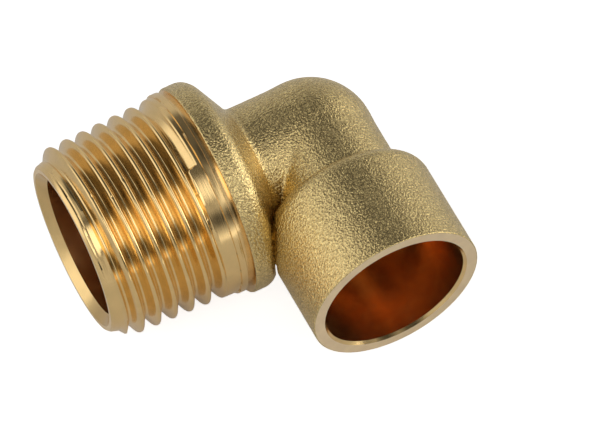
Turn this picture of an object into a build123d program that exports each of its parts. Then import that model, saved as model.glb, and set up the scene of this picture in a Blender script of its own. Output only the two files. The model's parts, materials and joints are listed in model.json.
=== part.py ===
"""Brass pipe elbow: a male taper pipe thread at one end, a solder socket at the other.

The fitting is one casting, machined at both ends.  It is modelled as the four regions
that a foundry and machine shop would name, each a closed solid that meets the next
face to face: threaded_spigot, collar, elbow_bend and solder_socket.

Frame, in millimetres: the origin is the centre of the socket's mouth, +Y points out of
the socket, +X points the way the threaded end does, and +Z is square to both.  The two
machined axes cross below the mouth, at (0, crossing_y, 0).
"""

from build123d import *

import os
from math import atan, atan2, cos, degrees, radians, sin, tan

os.makedirs("parts", exist_ok=True)

# ---------------------------------------------------------------- driving dimensions
centre_to_male_end = 26.1
centre_to_socket_end = 19.9

# Male taper pipe thread R 1/2, as in ISO 7-1.
thread_pitch = 25.4 / 14
gauge_diameter = 20.955
gauge_length = 8.164
taper_on_diameter = 1 / 16
thread_half_angle = radians(27.5)
thread_height = 0.640327 * thread_pitch
root_rounding = 0.137329 * thread_pitch

# The groove of the thread stops short of the collar, at this station and this angle
# from +Y towards +Z.
groove_end_x = 13.728
groove_end_angle = 72.4
groove_overcut = 0.4
groove_overrun = 1.5 * thread_pitch

# Turned relief and plain band between the collar and the thread.
collar_end_x = 11.25
relief_width = 0.5
relief_radius = 10.2
band_radius = 10.85
band_end_x = 12.55
band_edge = 0.12
band_cone_length = 0.55

# Bore and lead-in of the threaded end.
male_bore_radius = 7.45
male_bore_mouth_radius = 8.35
male_bore_depth = 16.0
male_lead_in_radius = 8.85
male_lead_in_angle = radians(38)
drill_point_half_angle = radians(59)

# Cast collar.
collar_radius = 11.2
collar_shoulder_radius = 1.8
collar_flank_angle = radians(61)
collar_flank_foot_x = 6.4
collar_foot_length = 0.6
collar_foot_radius = 1.0
collar_edge_radius = 0.2

# Cast bend, which sits slightly outside the crossing of the machined axes.
bend_radius = 6.62
bend_shift_x = -0.4
bend_shift_y = 0.25
waterway_radius = 5.0

# Round web of metal that fills the inner corner between the bend, collar and socket.
crotch_web_x = 5.0
crotch_web_y = 5.3
crotch_web_radius = 3.15

# Solder socket for 15 mm copper tube.
socket_bore_radius = 7.6
socket_depth = 10.9
socket_mouth_chamfer = 0.28
socket_radius = 9.1
socket_shoulder_y = 7.7
socket_shoulder_radius = 2.0
socket_rim_radius = 0.12

# ---------------------------------------------------------------- derived dimensions
# Sketches lie in the plane of both axes, with its origin at their crossing, so that
# every x and y below is counted from the crossing.
crossing_y = -centre_to_socket_end
crossing = Plane((0, crossing_y, 0))
male_axis = Axis((0, crossing_y, 0), (1, 0, 0))

# The collar and the bend are cast about a line a little off the male axis.
cast_leg = Plane((0, crossing_y + bend_shift_y, 0))
cast_leg_axis = Axis(cast_leg.origin, (1, 0, 0))
bend_centre = cast_leg.origin + Vector(bend_shift_x, 0, 0)
crotch_web_centre = crossing.origin + Vector(crotch_web_x, crotch_web_y, 0)
shoulder_plane = Plane((0, crossing_y + socket_shoulder_y, 0), z_dir=(0, 1, 0))
male_bore_end_x = centre_to_male_end - male_bore_depth
drill_point_length = (male_bore_radius - waterway_radius) / tan(drill_point_half_angle)
collar_flank_length = (collar_radius - bend_radius) / tan(collar_flank_angle)
collar_start_x = collar_flank_foot_x - collar_foot_length
socket_stop_y = centre_to_socket_end - socket_depth
taper_angle = atan(taper_on_diameter / 2)


def crest_radius_at(x):
    """Radius of the thread's crest cone at station x."""
    from_end = centre_to_male_end - x
    return (gauge_diameter + (from_end - gauge_length) * taper_on_diameter) / 2


# ---------------------------------------------------------------- waterway
# The hollow of the whole fitting, which is taken out of every region.
with BuildPart() as waterway:
    with BuildSketch(crossing) as male_leg_section:
        with BuildLine():
            Polyline(
                (0, 0),
                (0, waterway_radius),
                (male_bore_end_x - drill_point_length, waterway_radius),
                (male_bore_end_x, male_bore_radius),
                (centre_to_male_end - (male_bore_mouth_radius - male_bore_radius), male_bore_radius),
                (centre_to_male_end, male_bore_mouth_radius),
                (centre_to_male_end, 0),
                close=True,
            )
        make_face()
    revolve(axis=male_axis)
    with BuildSketch(crossing) as socket_leg_section:
        with BuildLine():
            Polyline(
                (0, 0),
                (waterway_radius, 0),
                (waterway_radius, socket_stop_y),
                (socket_bore_radius, socket_stop_y),
                (socket_bore_radius, centre_to_socket_end - socket_mouth_chamfer),
                (socket_bore_radius + socket_mouth_chamfer, centre_to_socket_end),
                (0, centre_to_socket_end),
                close=True,
            )
        make_face()
    revolve(axis=Axis.Y)
    with Locations(crossing):
        Sphere(waterway_radius)

# ---------------------------------------------------------------- thread groove
# Swept about the X axis itself, then turned to its angle and set on the male axis.
root_start_radius = crest_radius_at(groove_end_x) - thread_height
groove_length = centre_to_male_end + groove_overrun - groove_end_x
root_half_width = root_rounding * cos(thread_half_angle)
root_rise = root_rounding * (1 - sin(thread_half_angle))
groove_top = thread_height + groove_overcut
groove_half_width = root_half_width + (groove_top - root_rise) * tan(thread_half_angle)

with BuildPart() as thread_groove:
    with BuildLine() as groove_path:
        Helix(
            thread_pitch,
            groove_length,
            root_start_radius,
            center=(groove_end_x, 0, 0),
            direction=(1, 0, 0),
            cone_angle=-degrees(taper_angle),
        )
    groove_start = groove_path.line @ 0
    outward = Vector(0, groove_start.Y, groove_start.Z).normalized()
    across = Vector(1, 0, 0).cross(outward)
    with BuildSketch(Plane(groove_start, x_dir=(1, 0, 0), z_dir=across)) as groove_section:
        with BuildLine():
            ThreePointArc((-root_half_width, root_rise), (0, 0), (root_half_width, root_rise))
            Polyline(
                (root_half_width, root_rise),
                (groove_half_width, groove_top),
                (-groove_half_width, groove_top),
                (-root_half_width, root_rise),
            )
        make_face()
    sweep(is_frenet=True)

groove_turn = groove_end_angle - degrees(atan2(groove_start.Z, groove_start.Y))
set_thread_groove = Pos(0, crossing_y, 0) * Rot(groove_turn, 0, 0) * thread_groove.part

# ---------------------------------------------------------------- threaded spigot
lead_in_depth = crest_radius_at(centre_to_male_end) - male_lead_in_radius
lead_in_x = centre_to_male_end - lead_in_depth / tan(male_lead_in_angle)
band_cone_end_x = band_end_x + band_cone_length

with BuildPart() as threaded_spigot:
    with BuildSketch(crossing) as spigot_section:
        with BuildLine():
            Polyline(
                (collar_end_x, 0),
                (collar_end_x, relief_radius),
                (collar_end_x + relief_width, relief_radius),
                (collar_end_x + relief_width + band_edge, band_radius),
                (band_end_x, band_radius),
                (band_cone_end_x, crest_radius_at(band_cone_end_x)),
                (lead_in_x, crest_radius_at(lead_in_x)),
                (centre_to_male_end, male_lead_in_radius),
                (centre_to_male_end, 0),
                close=True,
            )
        make_face()
    revolve(axis=male_axis)
    add(set_thread_groove, mode=Mode.SUBTRACT)
    add(waterway.part, mode=Mode.SUBTRACT)

# ---------------------------------------------------------------- collar
with BuildPart() as collar_body:
    with BuildSketch(cast_leg) as collar_section:
        with BuildLine():
            FilletPolyline(
                (collar_start_x, bend_radius),
                (collar_flank_foot_x, bend_radius),
                (collar_flank_foot_x + collar_flank_length, collar_radius),
                (collar_end_x, collar_radius),
                (collar_end_x, 0),
                radius=[collar_foot_radius, collar_shoulder_radius, collar_edge_radius],
            )
            Polyline((collar_end_x, 0), (collar_start_x, 0), (collar_start_x, bend_radius))
        make_face()
    revolve(axis=cast_leg_axis)

with BuildPart() as collar:
    add(collar_body.part)
    add(waterway.part, mode=Mode.SUBTRACT)

# ---------------------------------------------------------------- elbow bend
with BuildPart() as elbow_bend:
    with BuildSketch(Plane(bend_centre, z_dir=(1, 0, 0))) as male_leg_circle:
        Circle(bend_radius)
    extrude(amount=collar_start_x - bend_shift_x)
    with BuildSketch(Plane(bend_centre, z_dir=(0, 1, 0))) as socket_leg_circle:
        Circle(bend_radius)
    extrude(amount=socket_shoulder_y - bend_shift_y)
    with Locations(bend_centre):
        Sphere(bend_radius)
    with Locations(crotch_web_centre):
        Sphere(crotch_web_radius)
    split(bisect_by=shoulder_plane, keep=Keep.BOTTOM)
    add(collar_body.part, mode=Mode.SUBTRACT)
    add(waterway.part, mode=Mode.SUBTRACT)

# ---------------------------------------------------------------- solder socket
with BuildPart() as solder_socket:
    with BuildSketch(crossing) as socket_section:
        with BuildLine():
            FilletPolyline(
                (0, socket_shoulder_y),
                (socket_radius, socket_shoulder_y),
                (socket_radius, centre_to_socket_end),
                (0, centre_to_socket_end),
                radius=[socket_shoulder_radius, socket_rim_radius],
            )
            Line((0, centre_to_socket_end), (0, socket_shoulder_y))
        make_face()
    revolve(axis=Axis.Y)
    add(collar_body.part, mode=Mode.SUBTRACT)
    add(waterway.part, mode=Mode.SUBTRACT)

# ---------------------------------------------------------------- write the four regions
threaded_spigot.part.label = "threaded_spigot"
export_step(threaded_spigot.part, "parts/threaded_spigot.step")

collar.part.label = "collar"
export_step(collar.part, "parts/collar.step")

elbow_bend.part.label = "elbow_bend"
export_step(elbow_bend.part, "parts/elbow_bend.step")

solder_socket.part.label = "solder_socket"
export_step(solder_socket.part, "parts/solder_socket.step")
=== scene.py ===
"""Brass pipe elbow: the looks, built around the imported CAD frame.

Each CAD node is replaced by a finer mesh of the same region, with the thread cut as a true
helix, a web and a sunk seam where the regions of the casting meet, and the grain that shot
blasting leaves.  Shapes are worked out in millimetres from the crossing of the fitting's two
axes, as in the CAD source, and written to Blender in metres in the row's frame.
"""

import json
from math import cos, pi, radians, sin, tan

import bpy
import numpy as np
from mathutils import Matrix, Vector, noise


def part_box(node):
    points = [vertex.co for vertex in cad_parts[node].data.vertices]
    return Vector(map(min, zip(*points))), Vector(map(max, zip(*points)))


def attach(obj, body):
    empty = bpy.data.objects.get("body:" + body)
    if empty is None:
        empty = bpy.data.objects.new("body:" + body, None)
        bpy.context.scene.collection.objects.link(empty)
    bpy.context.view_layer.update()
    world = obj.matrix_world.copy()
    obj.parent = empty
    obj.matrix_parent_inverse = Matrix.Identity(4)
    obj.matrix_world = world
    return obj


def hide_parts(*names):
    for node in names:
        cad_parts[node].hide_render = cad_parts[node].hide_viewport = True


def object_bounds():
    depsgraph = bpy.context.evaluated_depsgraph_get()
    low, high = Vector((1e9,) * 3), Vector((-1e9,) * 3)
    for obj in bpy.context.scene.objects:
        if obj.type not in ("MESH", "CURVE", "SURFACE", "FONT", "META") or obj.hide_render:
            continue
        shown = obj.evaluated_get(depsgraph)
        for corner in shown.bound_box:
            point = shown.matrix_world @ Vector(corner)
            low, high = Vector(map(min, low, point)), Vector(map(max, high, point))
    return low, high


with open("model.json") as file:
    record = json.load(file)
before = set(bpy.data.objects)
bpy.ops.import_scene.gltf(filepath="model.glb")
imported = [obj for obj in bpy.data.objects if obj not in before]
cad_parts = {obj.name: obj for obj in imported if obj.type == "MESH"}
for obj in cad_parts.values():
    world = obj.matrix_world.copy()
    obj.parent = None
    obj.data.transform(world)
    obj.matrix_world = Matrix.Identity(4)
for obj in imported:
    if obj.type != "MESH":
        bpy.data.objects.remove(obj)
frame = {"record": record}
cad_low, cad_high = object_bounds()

MM = 0.001

# ---------------------------------------------------------------- sizes from the frame
# Mesh corners would stand a few microns outside the CAD box, so the widest radii give way.
skin = 0.006
mounts = {mount["name"]: mount for mount in frame["record"]["mounts"]}
crossing_y = mounts["male_thread"]["pos_m"][1] / MM
centre_to_socket_end = -crossing_y
centre_to_male_end = mounts["male_thread"]["pos_m"][0] / MM
socket_bore_radius = mounts["solder_socket"]["dims"]["r_mm"]
socket_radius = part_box("solder_socket")[1].x / MM - skin
collar_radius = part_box("collar")[1].z / MM - skin
collar_end_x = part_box("collar")[1].x / MM
collar_start_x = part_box("collar")[0].x / MM
socket_shoulder_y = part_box("solder_socket")[0].y / MM - crossing_y
bend_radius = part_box("elbow_bend")[1].z / MM

# ---------------------------------------------------------------- the thread, in mm
thread_pitch = 25.4 / 14
gauge_diameter = 20.955
gauge_length = 8.164
taper_on_diameter = 1 / 16
thread_half_angle = radians(27.5)
thread_height = 0.640327 * thread_pitch
rounding = 0.137329 * thread_pitch
rounding_half_width = rounding * cos(thread_half_angle)
rounding_rise = rounding * (1 - sin(thread_half_angle))
groove_end_x = 13.728
groove_end_angle = radians(72.4)
groove_end_cut = radians(1.5)
run_out_x = 12.73
run_out_slope = 0.62
last_cut_x = 14.0
last_cut_slope = 1.5

# ---------------------------------------------------------------- other turned details
relief_width = 0.5
relief_radius = 10.2
band_radius = 10.85
band_end_x = 12.55
band_edge = 0.12
band_edge_fillet = 0.06
band_cone_length = 0.55
male_bore_radius = 7.45
male_bore_mouth_radius = 8.35
male_bore_depth = 16.0
male_nose_radius = 9.05
male_nose_length = 1.2
male_nose_angle = radians(16)
male_nose_edge = 0.25
nose_line_x = 25.6
nose_line_depth = 0.05
nose_line_half_width = 0.08
male_lead_in_angle = radians(59)
# Small dents on the crests: station, angle round the axis, and size.
crest_nicks = (
    (20.13, radians(83.7), 0.17),
    (23.62, radians(82.5), 0.15),
    (21.95, radians(77), 0.12),
)
nick_depth = 0.09
drill_point_half_angle = radians(59)
socket_depth = 10.9
socket_mouth_chamfer = 0.28
socket_rim_radius = 0.12
waterway_radius = 5.0

# ---------------------------------------------------------------- the casting
collar_shoulder_radius = 1.8
collar_flank_angle = radians(61)
collar_flank_foot_x = 6.4
collar_foot_radius = 1.0
collar_edge_radius = 0.2
# The cast outside sits this far off the machined axes.
cast_shift = np.array((-0.4, 0.25, 0.0))
socket_shoulder_radius = 2.0
socket_shoulder_overlap = 0.5
legs_fillet = 0.35
seam_depth = 0.28
seam_reach = 0.42
crotch_web_centre = np.array((6.3, 6.75, 0.0))
crotch_web_radius = 1.6
crotch_web_cap = 1.2
seam_clear_of_web = 0.5
grain_depth = 0.03
grain_fade = 0.12
grain_middle = 0.5
grain_fine_scale = 3.4
grain_fine_share = 0.34
grain_coarse_scale = 1.5
grain_coarse_share = 0.22

# ---------------------------------------------------------------- mesh fineness
around = 480
cast_step = 0.115
turned_step = 0.9
bend_rings = 150
bend_inner_rings = 36
bend_search_reach = 12.0
bend_search_halvings = 34
# Rays that lean towards the inner corner stop short of it, so that the rings never cross.
least_lean = 0.02
share_of_way_to_corner = 0.97
web_steps = 24
thread_arc_points = 7
thread_flank_points = 4
sharp_angle = radians(35)
fewest_fillet_pieces = 4
collar_steepest_slope = 3
outline_tolerance = 0.01
tiny_step = 1e-6
almost_zero = 1e-9

# Places of the four brasses among each mesh's materials.
CAST, TURNED, BORED, FACED = 0, 1, 2, 3

male_bore_end_x = centre_to_male_end - male_bore_depth
drill_point_length = (male_bore_radius - waterway_radius) / tan(drill_point_half_angle)
collar_flank_length = (collar_radius - bend_radius) / tan(collar_flank_angle)
socket_stop_y = centre_to_socket_end - socket_depth


# ================================================================ outlines and meshes
def rounded_outline(corners):
    """Sample a closed outline of (station, radius, fillet, finish) corners.

    Finish is that of the edge leaving the corner.  Returns the points and their finishes.
    """
    starts, ends, groups, count = [], [], [], len(corners)
    for index, (station, radius, fillet, _) in enumerate(corners):
        here = np.array((station, radius), float)
        back = np.array(corners[index - 1][:2], float) - here
        ahead = np.array(corners[(index + 1) % count][:2], float) - here
        back /= np.hypot(*back)
        ahead /= np.hypot(*ahead)
        if not fillet:
            groups.append([here])
            continue
        half = np.arccos(np.clip(back @ ahead, -1, 1)) / 2
        middle = (back + ahead) / np.hypot(*(back + ahead))
        centre = here + middle * fillet / sin(half)
        first = here + back * fillet / tan(half) - centre
        last = here + ahead * fillet / tan(half) - centre
        turn = pi - 2 * half
        pieces = max(fewest_fillet_pieces, int(np.ceil(fillet * turn / cast_step)))
        arc = []
        for piece in range(pieces + 1):
            part = piece / pieces
            arc.append(centre + (first * sin((1 - part) * turn) + last * sin(part * turn)) / sin(turn))
        groups.append(arc)
    points, finishes = [], []
    for index, group in enumerate(groups):
        finish = corners[index][3]
        before = corners[index - 1][3]
        for point in group[:-1]:
            points.append(point)
            finishes.append(CAST if CAST in (finish, before) else finish)
        start, end = group[-1], groups[(index + 1) % count][0]
        step = cast_step if finish == CAST else turned_step
        pieces = max(1, int(np.ceil(np.hypot(*(end - start)) / step)))
        for piece in range(pieces):
            points.append(start + (end - start) * piece / pieces)
            finishes.append(finish)
    return np.array(points), np.array(finishes)


def rings_about(axis, outline, centres):
    """Turn outline points into rings about the X or Y axis; centres are their offsets in Y."""
    angle = np.linspace(0, 2 * pi, around, endpoint=False)[None, :]
    station, radius = outline[:, :1], outline[:, 1:]
    if axis == "x":
        grid = (station + 0 * angle, centres[:, None] + radius * np.cos(angle), radius * np.sin(angle))
    else:
        grid = (radius * np.sin(angle), station + 0 * angle, radius * np.cos(angle))
    return np.stack(grid, axis=-1)


def ring_faces(rows, columns):
    """Vertex numbers of the quads of a grid that closes on itself."""
    row = np.arange(rows)[:, None]
    column = np.arange(columns)[None, :]
    next_row, next_column = (row + 1) % rows, (column + 1) % columns
    corners = (row * columns + column, row * columns + next_column)
    corners += (next_row * columns + next_column, next_row * columns + column)
    return np.stack(corners, axis=-1).reshape(-1, 4)


def make_piece(node, points, faces, finishes, materials):
    """A closed mesh in the row's frame, which stands for one CAD node and rides with it."""
    points = (np.asarray(points).reshape(-1, 3) + (0, crossing_y, 0)) * MM
    mesh = bpy.data.meshes.new(node + "_skin")
    mesh.from_pydata(points.tolist(), [], faces if isinstance(faces, list) else faces.tolist())
    for material in materials:
        mesh.materials.append(material)
    mesh.polygons.foreach_set("material_index", np.asarray(finishes, np.int32))
    mesh.shade_smooth()
    mesh.set_sharp_from_angle(angle=sharp_angle)
    if mesh.validate():
        print("mended", node)
    mesh.update()
    piece = bpy.data.objects.new(node + "_skin", mesh)
    bpy.context.scene.collection.objects.link(piece)
    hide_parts(node)
    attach(piece, "root")
    return piece


# ================================================================ the casting as distances
def collar_outline_corners():
    return [
        (collar_start_x, bend_radius, 0, CAST),
        (collar_flank_foot_x, bend_radius, collar_foot_radius, CAST),
        (collar_flank_foot_x + collar_flank_length, collar_radius, collar_shoulder_radius, CAST),
        (collar_end_x, collar_radius, collar_edge_radius, TURNED),
        (collar_end_x, male_bore_radius, 0, BORED),
        (male_bore_end_x, male_bore_radius, 0, BORED),
        (male_bore_end_x - drill_point_length, waterway_radius, 0, BORED),
        (collar_start_x, waterway_radius, 0, TURNED),
    ]


collar_outline, collar_finishes = rounded_outline(collar_outline_corners())
collar_top = collar_outline[: int(np.argmax(collar_outline[:, 0])) + 1]
spread_stations = collar_top[:, 0] + tiny_step * np.arange(len(collar_top))
collar_slope = np.gradient(collar_top[:, 1], spread_stations)


def collar_distance(p):
    """How far points lie outside the collar, near enough for the seam and the grain."""
    radius = np.hypot(p[..., 1] - cast_shift[1], p[..., 2])
    outline_radius = np.interp(p[..., 0], collar_top[:, 0], collar_top[:, 1])
    slope = np.interp(p[..., 0], collar_top[:, 0], np.clip(collar_slope, 0, collar_steepest_slope))
    outside = (radius - outline_radius) / np.sqrt(1 + slope**2)
    return np.maximum(outside, collar_start_x - p[..., 0])


def bend_distance(p):
    """How far points lie outside the two round legs of the bend."""
    x, y, z = np.moveaxis(p - cast_shift, -1, 0)
    along_x = np.sqrt(np.minimum(x, 0) ** 2 + y**2 + z**2) - bend_radius
    along_y = np.sqrt(np.minimum(y, 0) ** 2 + x**2 + z**2) - bend_radius
    return smooth_minimum(along_x, along_y, legs_fillet)


def waterway_distance(p):
    """How far points lie outside the two legs of the waterway."""
    x, y, z = np.moveaxis(p, -1, 0)
    along_x = np.sqrt(np.minimum(x, 0) ** 2 + y**2 + z**2)
    along_y = np.sqrt(np.minimum(y, 0) ** 2 + x**2 + z**2)
    return np.minimum(along_x, along_y) - waterway_radius


def socket_distance(p):
    """How far points lie outside the socket and its rounded shoulder."""
    sideways = np.hypot(p[..., 0], p[..., 2]) - (socket_radius - socket_shoulder_radius)
    below = socket_shoulder_y + socket_shoulder_radius - p[..., 1]
    corner = np.hypot(np.maximum(sideways, 0), np.maximum(below, 0))
    return corner + np.minimum(np.maximum(sideways, below), 0) - socket_shoulder_radius


def smooth_minimum(a, b, reach):
    """The lesser of two distances, rounded where they are within reach of each other."""
    near = np.maximum(reach - np.abs(a - b), 0) / reach
    return np.minimum(a, b) - near**2 * reach / 4


def web_distance(p):
    """How far points lie outside the round web that fills the inner corner."""
    return np.linalg.norm(p - crotch_web_centre, axis=-1) - crotch_web_radius


def outward(distance, p):
    """Unit normals of a distance, by small steps."""
    reach = 1e-3
    steps = reach * np.eye(3)
    slope = np.stack([distance(p + step) - distance(p - step) for step in steps], axis=-1)
    return slope / np.maximum(np.linalg.norm(slope, axis=-1, keepdims=True), almost_zero)


def grain(p):
    """Height of the blasted surface at each point, from 0 to 1."""
    flat = p.reshape(-1, 3)
    heights = np.empty(len(flat))
    for index, point in enumerate(flat.tolist()):
        here = Vector(point)
        fine = noise.noise(here * grain_fine_scale)
        coarse = noise.noise(here * grain_coarse_scale)
        heights[index] = grain_middle + grain_fine_share * fine + grain_coarse_share * coarse
    return np.clip(heights, 0, 1).reshape(p.shape[:-1])


def seam_depth_at(p, own_distance):
    """Depth of the sharp crease where the socket meets the bend and the collar."""
    if own_distance is socket_distance:
        other = np.minimum(np.minimum(bend_distance(p), collar_distance(p)), web_distance(p))
    else:
        other = socket_distance(p)
    near = np.clip(1 - other / seam_reach, 0, 1)
    return seam_depth * near**2 * np.clip(web_distance(p) / seam_clear_of_web, 0, 1)


def cast_skin(p, own_distance, weight):
    """Raise the web at the inner corner, sink the seam, then press in the grain."""
    normal = outward(own_distance, p)
    web = np.zeros(p.shape[:-1])
    if own_distance is not socket_distance:
        for _ in range(web_steps):
            web = np.clip(web - web_distance(p + web[..., None] * normal), 0, crotch_web_cap)
    raised = p + (web * (weight > 0))[..., None] * normal
    depth = grain_depth * (1 - grain(p)) + seam_depth_at(raised, own_distance)
    return raised - (depth * weight)[..., None] * normal


def row_weight(finishes, station, end):
    """1 on cast rows, falling to 0 at the machined end."""
    cast = (finishes == CAST) & (np.roll(finishes, 1) == CAST)
    return (cast * np.clip(np.abs(end - station) / grain_fade, 0, 1))[:, None] * np.ones(around)


# ================================================================ the four pieces
def make_collar(materials):
    outline, finishes = collar_outline, collar_finishes
    centres = np.where(outline[:, 1] > bend_radius - outline_tolerance, cast_shift[1], 0.0)
    inside = outline[:, 1] < relief_radius
    centres = np.where(inside & (outline[:, 0] > collar_end_x - outline_tolerance), 0.0, centres)
    points = rings_about("x", outline, centres)
    weight = row_weight(finishes, outline[:, 0], collar_end_x)
    cast = weight[:, 0] > 0
    points[cast] = cast_skin(points[cast], collar_distance, weight[cast])
    faces = ring_faces(len(points), around)
    return make_piece(
        "collar", points, faces, np.repeat(finishes, around), materials
    )


def make_socket(materials):
    corners = [
        (socket_shoulder_y, waterway_radius, 0, TURNED),
        (socket_shoulder_y, bend_radius - socket_shoulder_overlap, 0, CAST),
        (socket_shoulder_y, socket_radius, socket_shoulder_radius, CAST),
        (centre_to_socket_end, socket_radius, socket_rim_radius, FACED),
        (centre_to_socket_end, socket_bore_radius + socket_mouth_chamfer, 0, TURNED),
        (centre_to_socket_end - socket_mouth_chamfer, socket_bore_radius, 0, BORED),
        (socket_stop_y, socket_bore_radius, 0, BORED),
        (socket_stop_y, waterway_radius, 0, BORED),
    ]
    outline, finishes = rounded_outline(corners)
    points = rings_about("y", outline, np.zeros(len(outline)))
    weight = row_weight(finishes, outline[:, 0], centre_to_socket_end)
    cast = weight[:, 0] > 0
    points[cast] = cast_skin(points[cast], socket_distance, weight[cast])
    faces = ring_faces(len(points), around)
    return make_piece(
        "solder_socket", points, faces, np.repeat(finishes, around), materials
    )


def bend_rings_of(distance, count):
    """Rings where a fan of planes about the inner corner meets a surface, from leg to leg."""
    corner = np.array((collar_start_x, socket_shoulder_y, 0.0))
    rings = []
    angle = np.linspace(0, 2 * pi, around, endpoint=False)
    for tilt in np.linspace(0, pi / 2, count):
        toward = np.array((sin(tilt), cos(tilt), 0.0))
        reach_x = (corner[1] - cast_shift[1]) / max(cos(tilt), almost_zero)
        reach_y = (corner[0] - cast_shift[0]) / max(sin(tilt), almost_zero)
        reach = min(reach_x, reach_y)
        centre = corner - reach * toward
        ray = np.cos(angle)[:, None] * toward + np.sin(angle)[:, None] * np.array((0, 0, 1.0))
        low = np.zeros(around)
        high = np.full(around, bend_search_reach)
        forward = np.cos(angle) > least_lean
        to_corner = share_of_way_to_corner * reach / np.cos(angle[forward])
        high[forward] = np.minimum(bend_search_reach, to_corner)
        for _ in range(bend_search_halvings):
            middle = (low + high) / 2
            inside = distance(centre + middle[:, None] * ray) < 0
            low, high = np.where(inside, middle, low), np.where(inside, high, middle)
        rings.append(centre + low[:, None] * ray)
    return np.array(rings)


def make_bend(materials):
    outer = bend_rings_of(bend_distance, bend_rings)
    inner = bend_rings_of(waterway_distance, bend_inner_rings)[::-1]
    outer = cast_skin(outer, bend_distance, np.ones(outer.shape[:-1]))
    points = np.concatenate((outer, inner))
    finishes = np.full(len(points), BORED)
    finishes[: bend_rings - 1] = CAST
    faces = ring_faces(len(points), around)[:, ::-1]
    return make_piece(
        "elbow_bend", points, faces, np.repeat(finishes, around), materials
    )


def crest_radius_at(x):
    from_end = centre_to_male_end - x
    return (gauge_diameter + (from_end - gauge_length) * taper_on_diameter) / 2


def thread_radius(x, angle):
    """Radius of the finished thread at a station and an angle from +Y towards +Z."""
    from_end = centre_to_male_end - x
    # The blank before threading: nose, lead-in, and the cone up from the plain band.
    nose = male_nose_radius + np.maximum(from_end - male_nose_edge, 0) * tan(male_nose_angle)
    nose -= np.maximum(male_nose_edge - from_end, 0)
    nose -= nose_line_depth * np.clip(1 - np.abs(x - nose_line_x) / nose_line_half_width, 0, 1)
    lead_in = nose + np.maximum(from_end - male_nose_length, 0) * tan(male_lead_in_angle)
    cone_start, cone_end = band_end_x, band_end_x + band_cone_length
    cone = np.clip((x - cone_start) / (cone_end - cone_start), 0, 1)
    blank = band_radius + cone * (crest_radius_at(x) - band_radius)
    blank = np.minimum(blank, lead_in)
    # The groove's own form: rounded root, straight flank, rounded crest.
    turns = (x - groove_end_x) / thread_pitch - (angle - groove_end_angle) / (2 * pi)
    offset = (turns - np.round(turns)) * thread_pitch
    centre_x = x - offset
    sideways = np.abs(offset)
    flank = rounding_rise + (sideways - rounding_half_width) / tan(thread_half_angle)
    near_root = np.minimum(sideways, rounding_half_width)
    root = rounding - np.sqrt(np.maximum(rounding**2 - near_root**2, 0))
    from_crest = thread_pitch / 2 - sideways
    near_crest = np.minimum(from_crest, rounding_half_width)
    crest = thread_height - rounding + np.sqrt(np.maximum(rounding**2 - near_crest**2, 0))
    height = np.where(sideways < rounding_half_width, root, flank)
    height = np.where(from_crest < rounding_half_width, crest, height)
    # The last turn gets shallow and stops.
    past_end = (centre_x - groove_end_x) / thread_pitch * 2 * pi
    cut = np.clip(past_end / groove_end_cut, 0, 1)
    run_out = cut * run_out_slope * (x - run_out_x) + (1 - cut) * last_cut_slope * (x - last_cut_x)
    depth = np.minimum(thread_height - height, np.maximum(run_out, 0))
    radius = np.minimum(blank, crest_radius_at(x) - depth)
    for nick_x, nick_angle, size in crest_nicks:
        away = np.hypot(x - nick_x, radius * (angle - nick_angle))
        radius = radius - nick_depth * np.exp(-((away / size) ** 2))
    return radius


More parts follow.
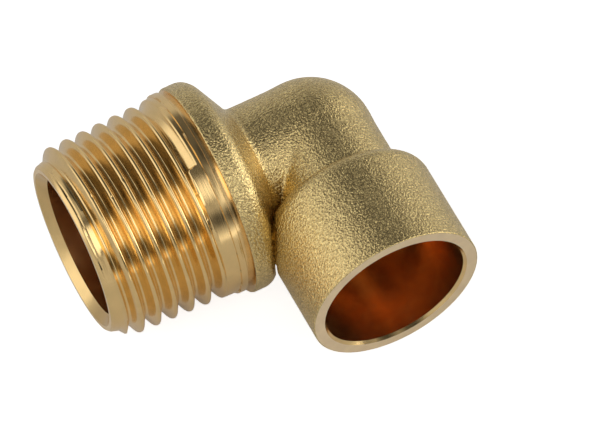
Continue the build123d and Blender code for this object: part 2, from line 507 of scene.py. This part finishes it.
def make_spigot(materials):
    """The thread's rows follow its helix; every other row is a plain ring."""
    arc = np.linspace(-rounding_half_width, rounding_half_width, thread_arc_points)
    flank_end = thread_pitch / 2 - rounding_half_width
    flank = np.linspace(rounding_half_width, flank_end, thread_flank_points)[1:]
    crest_arc = arc[1:] + thread_pitch / 2
    last_flank = thread_pitch - flank[::-1][1:]
    phases = np.concatenate((arc, flank, crest_arc, last_flank))
    per_pitch = len(phases)
    turns = int(np.ceil((centre_to_male_end - band_end_x) / thread_pitch)) + 2
    first_turn = int(np.floor((band_end_x - groove_end_x) / thread_pitch)) - 1
    starts = groove_end_x + thread_pitch * (first_turn + np.arange(turns + 1))
    stations = (starts[:, None] + phases[None, :]).ravel()
    angle = np.linspace(0, 2 * pi, around, endpoint=False)
    x = stations[:, None] + thread_pitch * (angle[None, :] - groove_end_angle) / (2 * pi)
    x = np.clip(x, band_end_x, centre_to_male_end)
    rows = len(x)
    radius = thread_radius(x, angle[None, :])
    thread = np.stack((x, radius * np.cos(angle), radius * np.sin(angle)), axis=-1)
    number = np.arange(rows * around).reshape(rows, around)
    low_ring = rows * around + np.arange(around)
    number = np.where(x <= band_end_x + tiny_step, low_ring[None, :], number)
    plain_corners = [
        (centre_to_male_end, male_nose_radius - male_nose_edge, 0, FACED),
        (centre_to_male_end, male_bore_mouth_radius, 0, TURNED),
        (centre_to_male_end - (male_bore_mouth_radius - male_bore_radius), male_bore_radius, 0, BORED),
        (collar_end_x, male_bore_radius, 0, TURNED),
        (collar_end_x, relief_radius, 0, TURNED),
        (collar_end_x + relief_width, relief_radius, 0, TURNED),
        (collar_end_x + relief_width + band_edge, band_radius, band_edge_fillet, TURNED),
        (band_end_x, band_radius, 0, TURNED),
    ]
    outline, ring_finishes = rounded_outline(plain_corners)
    outline = outline[: int(np.where((outline == (band_end_x, band_radius)).all(1))[0][0])]
    plain = rings_about("x", outline, np.zeros(len(outline)))
    ring_start = (rows + 1) * around
    high_ring = ring_start + np.arange(around)
    number = np.where(x >= centre_to_male_end - tiny_step, high_ring[None, :], number)
    low_points = np.stack(
        (np.full(around, band_end_x), band_radius * np.cos(angle), band_radius * np.sin(angle)), axis=-1
    )
    points = np.concatenate((thread.reshape(-1, 3), low_points, plain.reshape(-1, 3)))
    # Once round, a row of the helix joins the row one pitch further on; -1 has none to join.
    one_turn_on = np.vstack((number[per_pitch:, :1], np.full((per_pitch, 1), -1)))
    wrapped = np.concatenate((number[:, 1:], one_turn_on), axis=1)
    quads = np.stack((number[:-1], wrapped[:-1], wrapped[1:], number[1:]), axis=-1).reshape(-1, 4)
    quads = quads[(quads >= 0).all(1)]
    faces = []
    for quad in quads.tolist():
        kept = [corner for place, corner in enumerate(quad) if corner != quad[place - 1]]
        if len(set(kept)) > 2:
            faces.append(kept)
    plain_numbers = ring_start + np.arange(len(plain) * around).reshape(len(plain), around)
    plain_numbers = np.vstack((plain_numbers, low_ring[None, :]))
    turned = np.roll(plain_numbers, -1, axis=1)
    rings = np.stack((plain_numbers[:-1], turned[:-1], turned[1:], plain_numbers[1:]), axis=-1)
    thread_faces = len(faces)
    faces += rings.reshape(-1, 4).tolist()
    plain_finishes = np.repeat(ring_finishes[: len(plain)], around)
    finishes = np.concatenate((np.full(thread_faces, TURNED), plain_finishes))
    used = np.unique(np.concatenate([np.array(face) for face in faces]))
    renumber = np.full(len(points), -1)
    renumber[used] = np.arange(len(used))
    faces = [[int(renumber[corner]) for corner in face] for face in faces]
    return make_piece(
        "threaded_spigot", points[used], faces, finishes, materials
    )


# ================================================================ materials
cast_colour = (0.78, 0.585, 0.26)
cast_roughness = 0.24
cast_roughness_spread = 0.04
cast_bump = 0.12
cast_noise_scale = 5.0
cast_patch_scale = 0.9
turned_colour = (0.90, 0.63, 0.28)
turned_roughness = 0.17
# Bores: a redder brass, and darker than the turned colour as painted shade inside the bores and the
# waterway.
bored_colour_with_painted_shade = (0.76, 0.44, 0.19)
bored_roughness = 0.24
# Faced ends: paler than the turned colour. This is painted light standing in for the floor's reflection
# on the rims and end faces.
faced_colour_with_painted_reflection = (0.98, 0.77, 0.50)
faced_roughness = 0.5
turned_roughness_spread = 0.03
turned_patch_scale = 0.7
turned_bump = 0.006
turning_stretch = (9.0, 0.3, 0.3)
# Places on the noise, and the colour's brightness at each.
cast_shades = ((0.36, 0.7), (0.52, 1), (0.66, 1.35))
turned_shades = ((0.3, 0.95), (0.7, 1.05))
noise_low = 0.3
noise_high = 0.7


def shade_of(colour, factor):
    return tuple(min(channel * factor, 1) for channel in colour)


def new_material(name):
    material = bpy.data.materials.new(name)
    material.use_nodes = True
    nodes, links = material.node_tree.nodes, material.node_tree.links
    shader = nodes["Principled BSDF"]
    shader.inputs["Metallic"].default_value = 1.0
    place = nodes.new("ShaderNodeTexCoord")
    scale = nodes.new("ShaderNodeVectorMath")
    scale.operation = "SCALE"
    scale.inputs["Scale"].default_value = 1 / MM
    links.new(place.outputs["Object"], scale.inputs[0])
    return material, nodes, links, shader, scale.outputs[0]


def noise_node(nodes, links, place, scale, detail):
    texture = nodes.new("ShaderNodeTexNoise")
    texture.inputs["Scale"].default_value = scale
    texture.inputs["Detail"].default_value = detail
    links.new(place, texture.inputs["Vector"])
    return texture.outputs["Fac"]


def ramp_node(nodes, links, factor, colour, shades):
    ramp = nodes.new("ShaderNodeValToRGB")
    while len(ramp.color_ramp.elements) < len(shades):
        ramp.color_ramp.elements.new(0.5)
    for element, (position, brightness) in zip(ramp.color_ramp.elements, shades):
        element.position = position
        element.color = (*shade_of(colour, brightness), 1)
    links.new(factor, ramp.inputs["Fac"])
    return ramp.outputs["Color"]


def link_roughness(nodes, links, factor, shader, middle, spread):
    """Let the roughness wander either side of its middle value."""
    values = nodes.new("ShaderNodeMapRange")
    values.inputs["From Min"].default_value = noise_low
    values.inputs["From Max"].default_value = noise_high
    values.inputs["To Min"].default_value = middle - spread
    values.inputs["To Max"].default_value = middle + spread
    links.new(factor, values.inputs["Value"])
    links.new(values.outputs["Result"], shader.inputs["Roughness"])


def bump_node(nodes, links, height, depth):
    bump = nodes.new("ShaderNodeBump")
    bump.inputs["Strength"].default_value = 1.0
    bump.inputs["Distance"].default_value = depth * MM
    links.new(height, bump.inputs["Height"])
    return bump.outputs["Normal"]


def cast_brass():
    material, nodes, links, shader, place = new_material("cast_brass_blasted")
    fine = noise_node(nodes, links, place, cast_noise_scale, detail=2)
    patches = noise_node(nodes, links, place, cast_patch_scale, detail=3)
    tint = ramp_node(nodes, links, fine, cast_colour, cast_shades)
    links.new(tint, shader.inputs["Base Color"])
    link_roughness(nodes, links, patches, shader, cast_roughness, cast_roughness_spread)
    links.new(bump_node(nodes, links, fine, cast_bump), shader.inputs["Normal"])
    return material


def turned_brass(name, colour, roughness):
    material, nodes, links, shader, place = new_material(name)
    patches = noise_node(nodes, links, place, turned_patch_scale, detail=3)
    tint = ramp_node(nodes, links, patches, colour, turned_shades)
    links.new(tint, shader.inputs["Base Color"])
    link_roughness(nodes, links, patches, shader, roughness, turned_roughness_spread)
    stretched = nodes.new("ShaderNodeVectorMath")
    stretched.operation = "MULTIPLY"
    stretched.inputs[1].default_value = turning_stretch
    links.new(place, stretched.inputs[0])
    rings = noise_node(nodes, links, stretched.outputs[0], scale=1.0, detail=2)
    links.new(bump_node(nodes, links, rings, turned_bump), shader.inputs["Normal"])
    return material


# ================================================================ stage, light and camera
camera_azimuth = radians(158.465)
camera_elevation = radians(58.441)
camera_roll = radians(6.007)
camera_distance = 0.80135
camera_lens = 478.4
camera_sensor_width = 36.0
camera_clip_start = 0.01
camera_clip_end = 10.0
# The point of the fitting that falls in the middle of the picture.
aim_point = Vector((3.30, crossing_y + 5.011, -3.607)) * MM


def make_camera():
    """Azimuth 0 looks along +Y; the roll tips the camera's top towards its right."""
    level = Vector((sin(camera_azimuth), -cos(camera_azimuth), 0))
    back = level * cos(camera_elevation) + Vector((0, 0, sin(camera_elevation)))
    right = (-back).cross(Vector((0, 0, 1))).normalized()
    up = right.cross(-back).normalized()
    tilted_up = up * cos(camera_roll) + right * sin(camera_roll)
    tilted_right = (-back).cross(tilted_up)
    camera = bpy.data.objects.new("camera", bpy.data.cameras.new("camera"))
    camera.data.lens = camera_lens
    camera.data.sensor_width = camera_sensor_width
    camera.data.clip_start = camera_clip_start
    camera.data.clip_end = camera_clip_end
    turn = Matrix((tilted_right, tilted_up, back)).transposed()
    camera.matrix_world = Matrix.Translation(aim_point + back * camera_distance) @ turn.to_4x4()
    bpy.context.scene.collection.objects.link(camera)
    bpy.context.scene.camera = camera
    return tilted_right, tilted_up, back


floor_half_side = 3.0
floor_grey = 0.8
floor_roughness = 0.9
floor_glow = 0.75


def make_floor():
    """A pale floor. Only camera rays see its glow, so the brass reflects a greyer floor."""
    side = floor_half_side
    low = cad_low.z
    mesh = bpy.data.meshes.new("floor")
    corners = [(-side, -side, low), (side, -side, low), (side, side, low), (-side, side, low)]
    mesh.from_pydata(corners, [], [(0, 1, 2, 3)])
    material = bpy.data.materials.new("floor_white")
    material.use_nodes = True
    shader = material.node_tree.nodes["Principled BSDF"]
    shader.inputs["Base Color"].default_value = (floor_grey, floor_grey, floor_grey, 1)
    shader.inputs["Roughness"].default_value = floor_roughness
    shader.inputs["Specular IOR Level"].default_value = 0.0
    shader.inputs["Emission Color"].default_value = (1, 1, 1, 1)
    seen = material.node_tree.nodes.new("ShaderNodeLightPath")
    glow = material.node_tree.nodes.new("ShaderNodeMath")
    glow.operation = "MULTIPLY"
    glow.inputs[1].default_value = floor_glow
    material.node_tree.links.new(seen.outputs["Is Camera Ray"], glow.inputs[0])
    material.node_tree.links.new(glow.outputs[0], shader.inputs["Emission Strength"])
    mesh.materials.append(material)
    floor = bpy.data.objects.new("floor", mesh)
    bpy.context.scene.collection.objects.link(floor)


# Studio surfaces as round patches of the sky, each laid over those before it: brightness,
# degrees right of the camera and above it as seen from the fitting, half width, and fade.
sky_level = 0.56
ceiling = (0.12, 0, 64, 37, 8)
left_wall = (1.1, -69, 12, 30, 12)
right_wall = (4.2, 88, 13, 19, 8)
upper_right_wall = (1.5, 77, 38, 15, 8)
low_right_wall = (1.8, 80, -46, 22, 8)
right_strip = (1.2, 42, 5, 16, 7)
low_right_gap = (0.02, 23, -30, 13, 5)
low_side_gap = (0.03, 48, -15, 11, 6)
right_gap = (0.03, 74, -14, 9, 6)
upper_right_gap = (0.03, 35, 48, 14, 8)
upper_left_gap = (0.04, -44, 55, 12, 8)
camera_surround = (0.1, -3, 2, 30, 6)
camera_box = (1.7, 0, -2, 20, 4)
sky_patches = (
    ceiling, left_wall, right_wall, upper_right_wall, low_right_wall, right_strip,
    right_gap, upper_right_gap, upper_left_gap, camera_surround,
    low_side_gap, low_right_gap, camera_box,
)


def make_world(right, up, back):
    """A plain grey sky with the studio's patches laid over it, fixed in the world."""
    world = bpy.data.worlds.new("studio")
    bpy.context.scene.world = world
    world.use_nodes = True
    nodes, links = world.node_tree.nodes, world.node_tree.links
    background = nodes["Background"]
    place = nodes.new("ShaderNodeTexCoord")
    shade = nodes.new("ShaderNodeValue")
    shade.outputs[0].default_value = sky_level
    shade = shade.outputs[0]
    for level, degrees_right, degrees_up, half_width, fade in sky_patches:
        side, lift = radians(degrees_right), radians(degrees_up)
        middle = (right * sin(side) + back * cos(side)) * cos(lift) + up * sin(lift)
        nearness = nodes.new("ShaderNodeVectorMath")
        nearness.operation = "DOT_PRODUCT"
        nearness.inputs[1].default_value = middle
        links.new(place.outputs["Generated"], nearness.inputs[0])
        patch = nodes.new("ShaderNodeMapRange")
        patch.interpolation_type = "SMOOTHSTEP"
        patch.inputs["From Min"].default_value = cos(radians(half_width + fade))
        patch.inputs["From Max"].default_value = cos(radians(max(half_width - fade, 0)))
        patch.inputs["To Max"].default_value = level
        links.new(nearness.outputs["Value"], patch.inputs["Value"])
        links.new(shade, patch.inputs["To Min"])
        shade = patch.outputs["Result"]
    links.new(shade, background.inputs["Color"])


bpy.context.scene.view_settings.view_transform = "Standard"
right, up, back = make_camera()
make_floor()
make_world(right, up, back)

brasses = [
    cast_brass(),
    turned_brass("turned_brass", turned_colour, turned_roughness),
    # Darker colour here is painted shade inside the bores.
    turned_brass("bored_brass", bored_colour_with_painted_shade, bored_roughness),
    # Paler colour here is a painted reflection of the floor on the rims and end faces.
    turned_brass("faced_brass", faced_colour_with_painted_reflection, faced_roughness),
]
make_collar(brasses)
make_socket(brasses)
make_bend(brasses)
make_spigot(brasses)
